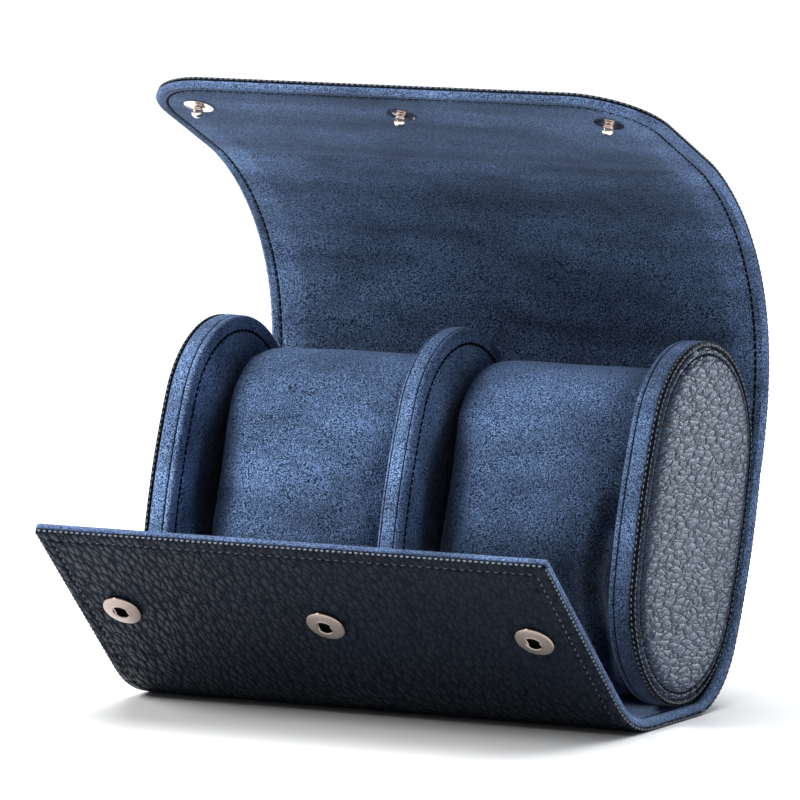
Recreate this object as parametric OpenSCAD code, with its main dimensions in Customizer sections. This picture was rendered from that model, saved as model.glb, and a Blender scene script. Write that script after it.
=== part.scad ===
// Two-place watch travel case, shown open. Millimetres, +Z up, front towards -Y.
// The origin lies on the standing plane, midway along the case, under the middle of the end panels.
// The wrap is one long strip: front flap, base, back and top flap. It is drawn as stiff
// pieces that meet at fold lines on the lining surface, so that it can roll shut.

/* [Case] */
// Length of the wrap along X
case_length = 160; // [150:1:175]
// Height of the oval end panel along its own long axis
panel_long = 102.8; // [102:0.2:103]
// Depth of the oval end panel across its long axis
panel_short = 66.4; // [66.2:0.2:66.6]
// Radius of the oval at both of its ends
panel_end_radius = 32; // [31.8:0.1:32.2]
// Backward lean of the oval, degrees
panel_lean = 17.4; // [17:0.1:18]
// Thickness of one end panel
panel_thickness = 8.5; // [7:0.5:9]
// How far the end panel sits inside the side edge of the wrap
panel_inset = 1.5; // [1:0.5:3]
// Thickness of the middle divider
divider_thickness = 7; // [5:0.5:8]

/* [Wrap] */
// Total thickness of the padded wrap
wrap_thickness = 3.4; // [3.2:0.1:3.4]
// Thickness of the outer leather
leather_thickness = 1.3; // [1:0.1:1.4]
// Thickness of the suede over the stiffener boards
suede_thickness = 1; // [0.8:0.1:1.1]
// Width of the turned suede edge beside the boards
turned_edge = 2.4; // [1.5:0.1:4]
// Gap left between two neighbouring pieces at a fold line
fold_gap = 0.4; // [0.3:0.1:0.8]

/* [Front flap] */
// Position of the front fold line ahead of the origin
front_fold_y = -13; // [-13.5:0.5:-12.5]
// Flat length from the front fold to the bend
front_flat = 16; // [15.5:0.5:16.5]
// Length of the bend
front_bend = 21; // [20.5:0.5:21.5]
// Angle of the bend, degrees
front_bend_angle = 45; // [44:1:46]
// Length of the middle strip of the front flap
front_strip = 20; // [19:1:21]
// Length of the last piece of the front flap
front_plate = 42.5; // [40:0.5:45]
// Corner radius of the front flap
front_corner = 3; // [1:0.5:5]

/* [Top flap] */
// Heading of the top flap where it leaves the back, degrees above horizontal
top_heading = 74; // [73:0.5:75]
// Length of the first strip of the top flap
top_root = 14.5; // [14:0.5:15]
// Length of each of the four curved strips
top_strip = 21; // [20.5:0.5:21.5]
// Bend of the first strip, degrees
top_bend_root = 5.8; // [5:0.1:7]
// Bend of the curved strips, degrees, from the back to the crease
top_bends = [16.5, 20.7, 17.8, 15.2];
// Angle at the crease in the open case, degrees
top_crease = 4.7; // [4:0.1:6]
// Length of the end plate of the top flap
top_plate = 53; // [48:0.5:58]
// Corner radius of the top flap
top_corner = 23; // [15:1:28]

/* [Snap fasteners] */
// Distance of the outer fasteners from the middle
snap_spacing = 64.8; // [55:0.2:66]
// Distance of the sockets from the edge of the front flap
socket_from_edge = 33; // [32:0.5:34]
// Distance of the studs from the crease of the top flap
stud_from_crease = 37.5; // [37:0.5:38]
// Diameter of the socket disc
socket_diameter = 11.5; // [10:0.5:13]
// Height of the socket above the leather
socket_height = 1.4; // [1.2:0.1:1.5]
// Diameter of the socket hole
socket_hole = 4.4; // [4.2:0.1:4.8]
// Diameter of the stud flange
stud_flange = 8.6; // [8:0.2:9.6]
// Diameter of the stud ball
stud_ball = 3.4; // [3:0.1:3.5]

/* [Pillows] */
// Length of each pillow along X
pillow_length = 62.4; // [56:0.2:62.4]
// Half thickness of the pillow
pillow_radius = 24.6; // [23:0.2:24.6]
// Height of the straight part of the pillow
pillow_straight = 44.5; // [40:0.5:45]
// Thickness of the suede cover of the pillow
pillow_cover = 1.4; // [1:0.1:2]

/* [Hidden] */
$fn = 96;

half = case_length / 2;
th = wrap_thickness;
o_leather = th - leather_thickness;   // lining and board lie below this level, leather above
o_board = suede_thickness;
g = fold_gap / 2;
rad = 180 / PI;

// oval: two end circles joined by two large side circles
oa = panel_long / 2;
ob = panel_short / 2;
orad = panel_end_radius;
oh = oa - orad;
oside = (ob * ob + oh * oh - orad * orad) / (2 * (ob - orad));
side_k = oside - ob;
oval_cut = oh * (1 + orad / sqrt(side_k * side_k + oh * oh));  // height where the arcs meet
ct = cos(panel_lean);
st = sin(panel_lean);
oval_floor = 3.6;                       // lining level under the oval
bottom_z = oval_floor + 0.4 + orad;
pc = [0, bottom_z + oh * ct];           // middle of the oval
top_c = [pc[0] + oh * st, pc[1] + oh * ct];
back_c = [pc[0] - (oside - ob) * ct, pc[1] + (oside - ob) * st];
back_angle = atan2(top_c[1] - back_c[1], top_c[0] - back_c[0]);
// lower back corner of the wrap
corner_r = 27;
corner_drop = 0.8;
corner_z = oval_floor - corner_drop + corner_r;
corner_y = back_c[0] + sqrt(pow(oside - corner_r, 2) - pow(corner_z - back_c[1], 2));
corner_angle = atan2(corner_z - back_c[1], corner_y - back_c[0]);
top_start = [back_c[0] + (oside + 0.5) * cos(back_angle), back_c[1] + (oside + 0.5) * sin(back_angle)];

panel_x = half - panel_inset;           // outer face of the end panels
inner_x = panel_x - panel_thickness;    // inner face of the end panels

navy = [0.12, 0.16, 0.22];
suede = [0.20, 0.31, 0.49];
board = [0.55, 0.47, 0.36];
foam = [0.80, 0.78, 0.72];
nickel = [0.72, 0.69, 0.66];
black = [0.06, 0.07, 0.09];

// ---- helpers -------------------------------------------------------------

// extrude a profile drawn in (Y, Z) from x0 to x1
module span(x0, x1) {
    translate([x0, 0, 0]) rotate([90, 0, 90]) linear_extrude(x1 - x0) children();
}

// triangle wedge from angle w0 to w1 reaching past radius k
module wedge(w0, w1, k) {
    q = k / cos((w1 - w0) / 2) + 1;
    polygon([[0, 0], [q * cos(w0), q * sin(w0)], [q * cos(w1), q * sin(w1)]]);
}

// ring sector with true arcs
module ring(r0, r1, w0, w1) {
    intersection() {
        difference() {
            circle(r1, $fn = 180);
            circle(r0, $fn = 180);
        }
        wedge(w0, w1, r1);
    }
}

// oval profile grown by d: two end circles, and the sides cut from two large circles;
// the end circles stand 0.02 proud so that the arcs cross cleanly
module oval(d = 0) {
    translate(pc) rotate(-panel_lean) {
        for (m = [-1, 1]) translate([0, m * oh]) circle(orad + d + 0.02, $fn = 180);
        intersection() {
            translate([-side_k, 0]) circle(oside + d, $fn = 360);
            translate([side_k, 0]) circle(oside + d, $fn = 360);
            translate([-100, -oval_cut]) square([200, 2 * oval_cut]);
        }
    }
}

// band of the wrap between levels a and b behind and below the oval
module base_disc(o) {
    intersection() {
        translate([corner_y, corner_z]) circle(corner_r + o, $fn = 180);
        translate([-100, oval_floor - o]) square([300, 200]);
    }
}
module base_band(a, b) {
    // back
    translate(back_c) ring(oside + a, oside + b, corner_angle, back_angle - g / oside * rad);
    // lower corner
    intersection() {
        difference() {
            base_disc(b);
            base_disc(a);
        }
        translate([corner_y, corner_z])
            polygon([[0, 0], [0, -60], [60, -60], [60 * cos(corner_angle), 60 * sin(corner_angle)]]);
    }
    // floor
    translate([front_fold_y + g, oval_floor - b])
        square([corner_y - front_fold_y - g, b - a]);
}

// one bent or straight strip, travelling from p with heading h; s = 1 turns left, -1 turns right
module strip(p, h, s, len, bend, a, b, g0, g1) {
    translate(p) rotate(h)
        if (bend == 0) {
            translate([g0, s > 0 ? -b : a]) square([len - g0 - g1, b - a]);
        } else {
            ri = len / bend * rad;
            a0 = g0 / ri * rad;
            a1 = bend - g1 / ri * rad;
            translate([0, s * ri])
                if (s > 0) ring(ri + a, ri + b, -90 + a0, -90 + a1);
                else ring(ri + a, ri + b, 90 - a1, 90 - a0);
        }
}

// end point of such a strip
function step(p, h, s, len, bend) =
    bend == 0 ? [p[0] + len * cos(h), p[1] + len * sin(h)]
    : let (ri = len / bend * rad)
      [p[0] - s * ri * sin(h) + s * ri * sin(h + s * bend),
       p[1] + s * ri * cos(h) - s * ri * cos(h + s * bend)];

// front flap stations
f0 = [front_fold_y, oval_floor];
f0b = step(f0, 180, -1, front_flat, 0);
f1 = step(f0b, 180, -1, front_bend, front_bend_angle);
fh = 180 - front_bend_angle;
f2 = step(f1, fh, -1, front_strip, 0);

// top flap stations
t0 = top_start;
h0 = top_heading;
t1 = step(t0, h0, 1, top_root, top_bend_root);
h1 = h0 + top_bend_root;
t2 = step(t1, h1, 1, top_strip, top_bends[0]);
h2 = h1 + top_bends[0];
t3 = step(t2, h2, 1, top_strip, top_bends[1]);
h3 = h2 + top_bends[1];
t4 = step(t3, h3, 1, top_strip, top_bends[2]);
h4 = h3 + top_bends[2];
t5 = step(t4, h4, 1, top_strip, top_bends[3]);
h5 = h4 + top_bends[3] + top_crease;

// plate outline in its own plane: x across the case, y along the flap, far corners rounded
module plate_outline(len, r, inset, g0) {
    w = case_length - 2 * inset;
    q = r - inset > 0.5 ? r - inset : 0.5;
    l = len - inset;
    translate([-w / 2, g0]) square([w, l - q - g0]);
    translate([-w / 2 + q, g0]) square([w - 2 * q, l - g0]);
    translate([-w / 2 + q, l - q]) circle(q);
    translate([w / 2 - q, l - q]) circle(q);
}
module at(p, h) {
    translate([0, p[0], p[1]]) rotate([h, 0, 0]) children();
}
module snaps(x = 0, y = 0, z = 0) {
    for (i = [-1, 0, 1]) translate([i * snap_spacing, y, z]) children();
}

// ---- base ----------------------------------------------------------------
module base_leather() { color(navy) span(-half, half) base_band(o_leather, th); }
module base_board() {
    color(board) intersection() {
        span(-half + turned_edge, half - turned_edge) base_band(o_board, o_leather);
        // the board stops short of both fold lines
        span(-half, half) difference() {
            translate([front_fold_y + 2, 0]) square([200, 200]);
            translate([-100, top_start[1] - 2.5]) square([300, 100]);
        }
    }
}
module base_lining() {
    color(suede) difference() {
        span(-half, half) base_band(0, o_leather);
        intersection() {
            span(-half + turned_edge, half - turned_edge) base_band(o_board, o_leather + 0.5);
            span(-half, half) difference() {
                translate([front_fold_y + 2, 0]) square([200, 200]);
                translate([-100, top_start[1] - 2.5]) square([300, 100]);
            }
        }
    }
}

// ---- end panels: leather face, foam core, suede face and a suede rim band --
rim = 1.2;
face = 1.3;
module end_core(s) {
    color(foam) mirror([s < 0 ? 1 : 0, 0, 0]) span(inner_x + 1, panel_x - face) oval(-rim);
}
module end_leather(s) {
    color(navy) mirror([s < 0 ? 1 : 0, 0, 0]) span(panel_x - face, panel_x) oval(-1.6);
}
module end_lining(s) {
    color(suede) mirror([s < 0 ? 1 : 0, 0, 0]) span(inner_x, inner_x + 1) oval(-rim);
}
module end_rim(s) {
    color(suede) mirror([s < 0 ? 1 : 0, 0, 0]) span(inner_x, panel_x - face) difference() {
        oval(0);
        oval(-rim);
    }
}
// cord of piping round the leather face
module end_piping(s) {
    color(black) mirror([s < 0 ? 1 : 0, 0, 0]) span(panel_x - face, panel_x - 0.2) difference() {
        oval(0);
        oval(-1.6);
    }
}
module end_left_core() { end_core(-1); }
module end_left_leather() { end_leather(-1); }
module end_left_lining() { end_lining(-1); }
module end_left_rim() { end_rim(-1); }
module end_left_piping() { end_piping(-1); }
module end_right_core() { end_core(1); }
module end_right_leather() { end_leather(1); }
module end_right_lining() { end_lining(1); }
module end_right_rim() { end_rim(1); }
module end_right_piping() { end_piping(1); }

// ---- divider ---------------------------------------------------------------
dh = divider_thickness / 2;
module divider_core() { color(foam) span(-dh + 1, dh - 1) oval(-rim); }
module divider_lining() {
    color(suede) {
        span(-dh, -dh + 1) oval(-rim);
        span(dh - 1, dh) oval(-rim);
    }
}
module divider_rim() {
    color(suede) span(-dh, dh) difference() {
        oval(0);
        oval(-rim);
    }
}

// ---- front flap --------------------------------------------------------------
module front_root_band(a, b) {
    strip(f0, 180, -1, front_flat, 0, a, b, g, 0);
    strip(f0b, 180, -1, front_bend, front_bend_angle, a, b, 0, g);
}
module front_root_leather() { color(navy) span(-half, half) front_root_band(o_leather, th); }
module front_root_lining() { color(suede) span(-half, half) front_root_band(0, o_leather); }
module front_strip_leather() {
    color(navy) span(-half, half) strip(f1, fh, -1, front_strip, 0, o_leather, th, g, g);
}
module front_strip_lining() {
    color(suede) span(-half, half) strip(f1, fh, -1, front_strip, 0, 0, o_leather, g, g);
}
// the plate has the stud sockets through leather and board
socket_y = front_plate - socket_from_edge;
barrel = 3.5;
chamber = 2.9;
module front_plate_leather() {
    color(navy) at(f2, fh) difference() {
        translate([0, 0, o_leather]) linear_extrude(leather_thickness)
            plate_outline(front_plate, front_corner, 0, g);
        snaps(y = socket_y) cylinder(h = 10, r = barrel, center = true);
    }
}
module front_board_shape(d = 0) {
    translate([0, 0, o_board]) linear_extrude(o_leather - o_board + d)
        plate_outline(front_plate, front_corner, turned_edge, 1.6);
}
module front_plate_board() {
    color(board) at(f2, fh) difference() {
        front_board_shape();
        snaps(y = socket_y) cylinder(h = 10, r = barrel + 1.2, center = true);
    }
}
module front_plate_lining() {
    color(suede) at(f2, fh) difference() {
        linear_extrude(o_leather) plate_outline(front_plate, front_corner, 0, g);
        front_board_shape(0.5);
    }
}
// domed disc with a rounded edge, a stepped hole and a barrel through the flap
module socket_profile() {
    difference() {
        union() {
            translate([0, th]) square([socket_diameter / 2 - 0.5, socket_height]);
            translate([0, th]) square([socket_diameter / 2, socket_height - 0.5]);
            translate([socket_diameter / 2 - 0.5, th + socket_height - 0.5]) circle(0.5, $fn = 40);
            translate([0, o_board]) square([barrel, th - o_board + 0.2]);
        }
        // chamber behind the lip, then the hole and its countersink
        translate([-1, o_board + 0.3]) square([1 + chamber, th + socket_height - o_board - 0.75]);
        translate([-1, th]) square([1 + socket_hole / 2, 10]);
        translate([socket_hole / 2, th + socket_height - 0.3])
            polygon([[-0.5, 0], [0, 0], [0.4, 0.31], [-0.5, 0.31]]);
        translate([-20, -20]) square([20, 40]);
    }
}
module snap_sockets() {
    color(nickel) at(f2, fh) snaps(y = socket_y) rotate_extrude($fn = 72) socket_profile();
}
// two spring wires, one each side of the hole
spring_x = 2.15;
module socket_springs() {
    color(nickel) at(f2, fh) snaps(y = socket_y)
        for (s = [-1, 1]) translate([s * spring_x, 0, th + socket_height - 0.85])
            rotate([90, 0, 0]) cylinder(h = 2.8, r = 0.28, center = true, $fn = 24);
}
module socket_washers() {
    color(nickel) at(f2, fh) snaps(y = socket_y) translate([0, 0, o_board]) difference() {
        cylinder(h = o_leather - o_board, r = barrel + 1.2, $fn = 60);
        translate([0, 0, -1]) cylinder(h = 5, r = barrel, $fn = 60);
    }
}

// ---- top flap ------------------------------------------------------------------
module top_piece(p, h, len, bend, a, b, g0 = g) { span(-half, half) strip(p, h, 1, len, bend, a, b, g0, g); }
module top_root_leather() { color(navy) top_piece(t0, h0, top_root, top_bend_root, o_leather, th, g + 0.4); }
module top_root_lining() { color(suede) top_piece(t0, h0, top_root, top_bend_root, 0, o_leather, g + 0.4); }
module top_strip_a_leather() { color(navy) top_piece(t1, h1, top_strip, top_bends[0], o_leather, th); }
module top_strip_a_lining() { color(suede) top_piece(t1, h1, top_strip, top_bends[0], 0, o_leather); }
module top_strip_b_leather() { color(navy) top_piece(t2, h2, top_strip, top_bends[1], o_leather, th); }
module top_strip_b_lining() { color(suede) top_piece(t2, h2, top_strip, top_bends[1], 0, o_leather); }
module top_strip_c_leather() { color(navy) top_piece(t3, h3, top_strip, top_bends[2], o_leather, th); }
module top_strip_c_lining() { color(suede) top_piece(t3, h3, top_strip, top_bends[2], 0, o_leather); }
module top_strip_d_leather() { color(navy) top_piece(t4, h4, top_strip, top_bends[3], o_leather, th); }
module top_strip_d_lining() { color(suede) top_piece(t4, h4, top_strip, top_bends[3], 0, o_leather); }
post = 1.6;
module top_plate_leather() {
    color(navy) at(t5, h5) difference() {
        translate([0, 0, -th]) linear_extrude(leather_thickness)
            plate_outline(top_plate, top_corner, 0, g);
        snaps(y = stud_from_crease) cylinder(h = 20, r = post, center = true);
    }
}
module top_board_shape(d = 0) {
    translate([0, 0, -o_leather - d]) linear_extrude(o_leather - o_board + d)
        plate_outline(top_plate, top_corner, turned_edge, 1.6);
}
module top_plate_board() {
    color(board) at(t5, h5) difference() {
        top_board_shape();
        snaps(y = stud_from_crease) cylinder(h = 20, r = post, center = true);
    }
}
module top_plate_lining() {
    color(suede) at(t5, h5) difference() {
        translate([0, 0, -o_leather]) linear_extrude(o_leather)
            plate_outline(top_plate, top_corner, 0, g);
        top_board_shape(0.5);
        snaps(y = stud_from_crease) cylinder(h = 20, r = post, center = true);
        snaps(y = stud_from_crease, z = -0.4) cylinder(h = 5, r = stud_flange / 2);
    }
}
// stud: post, flange with a raised rim, cone, neck and ball
ball_z = 2.0;
module snap_studs() {
    color(nickel) at(t5, h5) snaps(y = stud_from_crease) {
        rotate_extrude($fn = 72) polygon([[0, -th], [post, -th], [post, -0.4], [stud_flange / 2, -0.4],
            [stud_flange / 2, 0.25], [stud_flange / 2 - 0.35, 0.3], [stud_flange / 2 - 0.7, 0.15],
            [2.6, 0.15], [2.1, 0.3], [1.6, 0.55], [0.9, 0.75], [0.9, ball_z], [0, ball_z]]);
        translate([0, 0, ball_z]) sphere(d = stud_ball, $fn = 40);
    }
}
module cap_profile() {
    intersection() {
        union() {
            square([socket_diameter / 2 - 0.6, 1.2]);
            square([socket_diameter / 2, 0.6]);
            translate([socket_diameter / 2 - 0.6, 0.6]) circle(0.6, $fn = 40);
        }
        square([20, 20]);
    }
}
module stud_caps() {
    color(nickel) at(t5, h5) snaps(y = stud_from_crease, z = -th)
        mirror([0, 0, 1]) rotate_extrude($fn = 72) cap_profile();
}

// ---- pillows: foam core, suede tube and two end pieces --------------------------
pr = pillow_radius;
pillow_u = ob - 2.3 - pr;               // towards the back of the oval
pillow_w0 = -25;
module pillow_profile(d) {
    translate(pc) rotate(-panel_lean) translate([pillow_u, pillow_w0]) {
        circle(pr + d, $fn = 120);
        translate([0, pillow_straight]) circle(pr + d, $fn = 120);
        translate([-pr - d, 0]) square([2 * (pr + d), pillow_straight]);
    }
}
slack = inner_x - dh - pillow_length;
// the left pillow sits close to the divider, the right one close to the end panel
lx0 = -inner_x + slack - 0.7;
rx0 = dh + slack - 0.7;
module pillow_core(x0) {
    color(foam) span(x0 + pillow_cover, x0 + pillow_length - pillow_cover) pillow_profile(-pillow_cover);
}
module pillow_tube(x0) {
    color(suede) span(x0 + pillow_cover, x0 + pillow_length - pillow_cover) difference() {
        pillow_profile(0);
        pillow_profile(-pillow_cover);
    }
}
module pillow_ends(x0) {
    color(suede) {
        span(x0, x0 + pillow_cover) pillow_profile(0);
        span(x0 + pillow_length - pillow_cover, x0 + pillow_length) pillow_profile(0);
    }
}
module pillow_left_core() { pillow_core(lx0); }
module pillow_left_cover() { pillow_tube(lx0); }
module pillow_left_ends() { pillow_ends(lx0); }
module pillow_right_core() { pillow_core(rx0); }
module pillow_right_cover() { pillow_tube(rx0); }
module pillow_right_ends() { pillow_ends(rx0); }

// ---- output -----------------------------------------------------------------------
base_leather();
base_board();
base_lining();
end_left_core();
end_left_leather();
end_left_lining();
end_left_rim();
end_left_piping();
end_right_core();
end_right_leather();
end_right_lining();
end_right_rim();
end_right_piping();
divider_core();
divider_lining();
divider_rim();
front_root_leather();
front_root_lining();
front_strip_leather();
front_strip_lining();
front_plate_leather();
front_plate_board();
front_plate_lining();
top_root_leather();
top_root_lining();
top_strip_a_leather();
top_strip_a_lining();
top_strip_b_leather();
top_strip_b_lining();
top_strip_c_leather();
top_strip_c_lining();
top_strip_d_leather();
top_strip_d_lining();
top_plate_leather();
top_plate_board();
top_plate_lining();
snap_sockets();
socket_springs();
socket_washers();
snap_studs();
stud_caps();
pillow_left_core();
pillow_left_cover();
pillow_left_ends();
pillow_right_core();
pillow_right_cover();
pillow_right_ends();
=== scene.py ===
import bpy
import bmesh
import math
import numpy as np
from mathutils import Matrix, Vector, noise


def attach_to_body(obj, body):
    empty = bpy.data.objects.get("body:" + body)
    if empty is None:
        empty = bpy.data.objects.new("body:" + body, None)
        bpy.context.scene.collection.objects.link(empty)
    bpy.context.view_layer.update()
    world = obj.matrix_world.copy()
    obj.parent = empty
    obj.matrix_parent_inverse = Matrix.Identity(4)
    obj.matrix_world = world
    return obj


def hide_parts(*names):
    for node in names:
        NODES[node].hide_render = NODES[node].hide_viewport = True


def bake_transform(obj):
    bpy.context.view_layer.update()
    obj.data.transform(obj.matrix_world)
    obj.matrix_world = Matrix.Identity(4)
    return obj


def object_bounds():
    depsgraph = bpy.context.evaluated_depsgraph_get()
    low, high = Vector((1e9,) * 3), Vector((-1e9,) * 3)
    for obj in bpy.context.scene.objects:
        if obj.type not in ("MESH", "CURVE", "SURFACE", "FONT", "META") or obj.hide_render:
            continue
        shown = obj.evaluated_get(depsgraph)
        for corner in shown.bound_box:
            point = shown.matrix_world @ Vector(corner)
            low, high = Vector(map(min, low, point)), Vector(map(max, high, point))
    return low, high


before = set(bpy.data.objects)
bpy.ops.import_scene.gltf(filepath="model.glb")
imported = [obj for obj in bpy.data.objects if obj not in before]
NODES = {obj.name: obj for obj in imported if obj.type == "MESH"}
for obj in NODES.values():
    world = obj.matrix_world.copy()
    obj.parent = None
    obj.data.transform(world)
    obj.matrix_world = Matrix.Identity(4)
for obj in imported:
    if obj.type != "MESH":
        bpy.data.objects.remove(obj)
cad_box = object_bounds()

# ------------------------------------------------------------------ numbers (mm)
HALF, TH = 80.0, 3.4
OA, OB, OR, LEAN = 51.4, 33.2, 32.0, math.radians(17.4)
OH = OA - OR
OS = (OB * OB + OH * OH - OR * OR) / (2 * (OB - OR))
SK = OS - OB
CT, ST = math.cos(LEAN), math.sin(LEAN)
FLOOR = 3.6
PCZ = FLOOR + 0.4 + OR + OH * CT
BACK = (-SK * CT, PCZ + SK * ST)
TOPC = (OH * ST, PCZ + OH * CT)
BACK_ANG = math.atan2(TOPC[1] - BACK[1], TOPC[0] - BACK[0])
COR_R = 27.0
COR_Z = FLOOR - 0.8 + COR_R
COR_Y = BACK[0] + math.sqrt((OS - COR_R) ** 2 - (COR_Z - BACK[1]) ** 2)
COR_ANG = math.atan2(COR_Z - BACK[1], COR_Y - BACK[0])
R_TOP, R_FRONT = 23.0, 1.4
S0 = -1.0  # the front edge, where its leather turns over
INNER_X, PANEL_X, DH = 70.0, 78.5, 3.5


# ------------------------------------------------------------------ the path of the wrap's suede surface
def make_path():
    """Points (y, z) of the suede surface from the front flap's edge to the top flap's edge, with the length s."""
    P, S, mark = [], [], {}
    state = {"y": -92.1041, "z": 55.6268, "h": math.radians(-45), "s": 0.0}

    def put():
        P.append((state["y"], state["z"]))
        S.append(state["s"])

    def go(length, bend=0.0):
        n = max(2, int(round(length / 0.4)))
        b = math.radians(bend)
        y, z, h = state["y"], state["z"], state["h"]
        for i in range(1, n + 1):
            q = i / n
            if b == 0:
                state["y"], state["z"] = y + length * q * math.cos(h), z + length * q * math.sin(h)
            else:
                r = length / b
                state["y"] = y + r * (math.sin(h + b * q) - math.sin(h))
                state["z"] = z - r * (math.cos(h + b * q) - math.cos(h))
            state["s"] += length / n
            put()
        state["h"] = h + b

    put()
    go(42.5); mark["front_edge"] = state["s"]
    go(20.0); mark["front_bend"] = state["s"]
    go(21.0, 45.0)
    go(16.0); mark["front_fold"] = state["s"]
    a0 = math.asin((FLOOR - COR_Z) / COR_R)
    go(COR_Y + COR_R * math.cos(a0) - state["y"])
    state["h"] = a0 + math.pi / 2
    go(COR_R * (COR_ANG - a0), math.degrees(COR_ANG - a0))
    state["h"] = COR_ANG + math.pi / 2
    go(OS * (BACK_ANG - COR_ANG), math.degrees(BACK_ANG - COR_ANG))
    mark["root"] = state["s"]
    state["y"] = BACK[0] + (OS + 0.5) * math.cos(BACK_ANG)
    state["z"] = BACK[1] + (OS + 0.5) * math.sin(BACK_ANG)
    state["h"] = math.radians(74)
    go(14.5, 5.8); mark["a"] = state["s"]
    go(21, 16.5); mark["b"] = state["s"]
    go(21, 20.7); mark["c"] = state["s"]
    go(21, 17.8); mark["d"] = state["s"]
    go(21, 15.2); mark["tip"] = state["s"]
    state["h"] += math.radians(4.7)
    go(53.0); mark["end"] = state["s"]
    P, S = np.array(P), np.array(S)
    # even steps, then a light smoothing that takes the corners off the fold lines
    s = np.arange(0, S[-1] + 1e-6, 0.4)
    y, z = np.interp(s, S, P[:, 0]), np.interp(s, S, P[:, 1])
    k = np.exp(-0.5 * (np.arange(-15, 16) * 0.4 / 1.9) ** 2)
    k /= k.sum()

    def soft(v):
        a = np.concatenate([2 * v[0] - v[15:0:-1], v, 2 * v[-1] - v[-2:-17:-1]])
        return np.convolve(a, k, "valid")

    y, z = soft(y), soft(z)
    h = np.unwrap(np.arctan2(np.gradient(z), np.gradient(y)))
    return s, y, z, h, mark


PS_, PY, PZ, PH, MARK = make_path()
S_END = float(MARK["end"])


def wrap_pt(x, s, t):
    """Row-frame point (mm) at x across, s along the wrap and t from the suede surface outwards."""
    x, s, t = np.broadcast_arrays(np.asarray(x, float), np.asarray(s, float), np.asarray(t, float))
    y, z, h = np.interp(s, PS_, PY), np.interp(s, PS_, PZ), np.interp(s, PS_, PH)
    # past an end the path goes straight on
    over = np.where(s > S_END, s - S_END, np.where(s < 0, s, 0.0))
    return np.stack([x, y + over * np.cos(h) + np.sin(h) * t, z + over * np.sin(h) - np.cos(h) * t], -1)


# ------------------------------------------------------------------ oval
TA = math.atan2(OH, SK)


def oval_stations(step=1.6):
    """Arrays of arc centre, radius and outward angle all round the oval, in the row frame (Y, Z), counter-clockwise seen from +X."""
    out = []
    for cu, cw, r, a0, a1 in (
        (-SK, 0, OS, -TA, TA),
        (0, OH, OR, TA, math.pi - TA),
        (SK, 0, OS, math.pi - TA, math.pi + TA),
        (0, -OH, OR, math.pi + TA, 2 * math.pi - TA),
    ):
        n = int(round(r * (a1 - a0) / step))
        for i in range(n):
            a = a0 + (a1 - a0) * i / n
            cy, cz = cu * CT + cw * ST, PCZ - cu * ST + cw * CT
            out.append((cy, cz, r, a - LEAN))
    return np.array(out)


OVAL = oval_stations()


def oval_pt(st, d):
    """Row-frame (y, z) of stations st at inset d."""
    r = st[..., 2] - d
    return st[..., 0] + r * np.cos(st[..., 3]), st[..., 1] + r * np.sin(st[..., 3])


# ------------------------------------------------------------------ mesh helpers
def new_object(name, verts, faces, material, smooth=True):
    me = bpy.data.meshes.new(name)
    me.from_pydata([tuple(p) for p in np.asarray(verts, float) * 0.001], [], [tuple(int(i) for i in f) for f in faces])
    me.validate()
    me.update()
    ob = bpy.data.objects.new(name, me)
    bpy.context.scene.collection.objects.link(ob)
    if material:
        me.materials.append(material)
    if smooth:
        me.polygons.foreach_set("use_smooth", [True] * len(me.polygons))
    return ob


def face_out(ob, direction):
    """Consistent normals, turned so that most faces look along direction(centre, in metres)."""
    bm = bmesh.new()
    bm.from_mesh(ob.data)
    bmesh.ops.remove_doubles(bm, verts=bm.verts, dist=2e-6)
    bmesh.ops.recalc_face_normals(bm, faces=bm.faces)
    vote = sum(f.calc_area() * f.normal.dot(Vector(direction(f.calc_center_median()))) for f in bm.faces)
    if vote < 0:
        bmesh.ops.reverse_faces(bm, faces=bm.faces)
    bm.to_mesh(ob.data)
    bm.free()
    ob.data.update()


class Net:
    """A mesh in the flat coordinates (x, s, t) of the wrap, with equal points merged."""

    def __init__(self):
        self.v, self.f, self.key = [], [], {}

    def add(self, p):
        k = (round(p[0], 3), round(p[1], 3), round(p[2], 3))
        if k not in self.key:
            self.key[k] = len(self.v)
            self.v.append(p)
        return self.key[k]

    def grid(self, A, close=False):
        idx = [[self.add(p) for p in row] for row in A]
        if close:
            idx.append(idx[0])
        for r0, r1 in zip(idx[:-1], idx[1:]):
            for j in range(len(r0) - 1):
                q = []
                for i in (r0[j], r0[j + 1], r1[j + 1], r1[j]):
                    if i not in q:
                        q.append(i)
                if len(q) > 2:
                    self.f.append(q)


CUTS = [MARK["front_edge"] - 12, MARK["front_edge"] + 10, MARK["front_bend"] + 17.5, MARK["front_fold"] + 12,
        MARK["root"] - 9, MARK["root"] + 7.25, MARK["a"] + 10.5, MARK["b"] + 10.5, MARK["c"] + 10.5,
        MARK["d"] + 10.5, MARK["tip"] + 13]


def rows():
    """Stations along the straight sides of the wrap, the cuts among them."""
    fixed = [S0 + 7.0] + CUTS + [S_END - R_TOP]
    out = []
    for a, b in zip(fixed[:-1], fixed[1:]):
        n = max(1, int(round((b - a) / 1.7)))
        out += [a + (b - a) * i / n for i in range(n)]
    return out + [fixed[-1]]


ROWS = rows()
NCOL, NARC = 54, 18


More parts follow.
